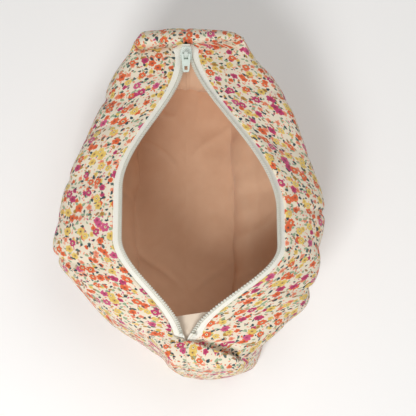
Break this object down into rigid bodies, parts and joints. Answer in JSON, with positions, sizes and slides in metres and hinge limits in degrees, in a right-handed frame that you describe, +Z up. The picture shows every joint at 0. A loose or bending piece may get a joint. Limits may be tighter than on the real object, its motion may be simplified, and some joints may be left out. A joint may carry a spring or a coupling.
{
  "type": "makeup bag",
  "caption": "Padded fabric zip pouch with boxed corners and a lined inside, standing open; its side walls close towards a zip with a sliding pull.",
  "frame": {"origin": "middle of the bag's box on the underside, where it stands", "axes": "+Z up, +Y along the zip towards the end where the slider rests when unzipped, +X towards the right side wall"},
  "size_m": [0.1844, 0.2357, 0.1077],
  "materials": {
    "printed_fabric": "matte woven cotton with a small all-over blossom print",
    "padding": "matte wadding",
    "lining": "matte plain cotton",
    "thread": "matte thread",
    "binding": "matte cotton tape",
    "zip_tape": "matte woven polyester",
    "zip_coil": "satin nylon",
    "enamel": "glossy enamel"
  },
  "bodies": {
    "root": {"outer_left_body": "printed_fabric", "outer_right_body": "printed_fabric", "padding_left_body": "padding", "padding_right_body": "padding", "lining_left_body": "lining", "lining_right_body": "lining", "seam_base": "thread", "seam_rear_end": "thread", "seam_front_end": "thread", "corner_binding_rear": "binding", "corner_binding_front": "binding", "bottom_stop": "zip_coil", "top_stop_left": "zip_coil", "top_stop_right": "zip_coil", "zip_end_tab_front": "lining"},
    "left_wall": {"outer_left_wall": "printed_fabric", "padding_left_wall": "padding", "lining_left_wall": "lining", "zip_tape_left": "zip_tape", "zip_coil_left": "zip_coil"},
    "right_wall": {"outer_right_wall": "printed_fabric", "padding_right_wall": "padding", "lining_right_wall": "lining", "zip_tape_right": "zip_tape", "zip_coil_right": "zip_coil"},
    "slider": {"slider_body": "enamel", "slider_bridge": "enamel"},
    "pull_tab": {"pull_tab": "enamel"}
  },
  "joints": [
    {"name": "slider_travel", "type": "slide", "parent": "root", "child": "slider", "axis": [0, -1, 0], "range_m": [0, 0.184]},
    {"name": "left_wall_close", "type": "hinge", "parent": "root", "child": "left_wall", "pos_m": [-0.04779, -0.00415, 0.004], "axis": [0, 1, 0], "range_deg": [0, 23.81], "deforming": ["zip_tape_left", "zip_coil_left"]},
    {"name": "right_wall_close", "type": "hinge", "parent": "root", "child": "right_wall", "pos_m": [0.03621, -0.00415, 0.004], "axis": [0, -1, 0], "range_deg": [0, 33.71], "deforming": ["zip_tape_right", "zip_coil_right"]},
    {"name": "pull_tab_swing", "type": "hinge", "parent": "slider", "child": "pull_tab", "pos_m": [-0.00579, 0.09585, 0.1034], "axis": [-1, 0, 0], "range_deg": [0, 150]}
  ],
  "couplings": [
    {"joint": "left_wall_close", "follows": "slider_travel", "rad_per_m": 2.2575},
    {"joint": "right_wall_close", "follows": "slider_travel", "rad_per_m": 3.1966}
  ]
}
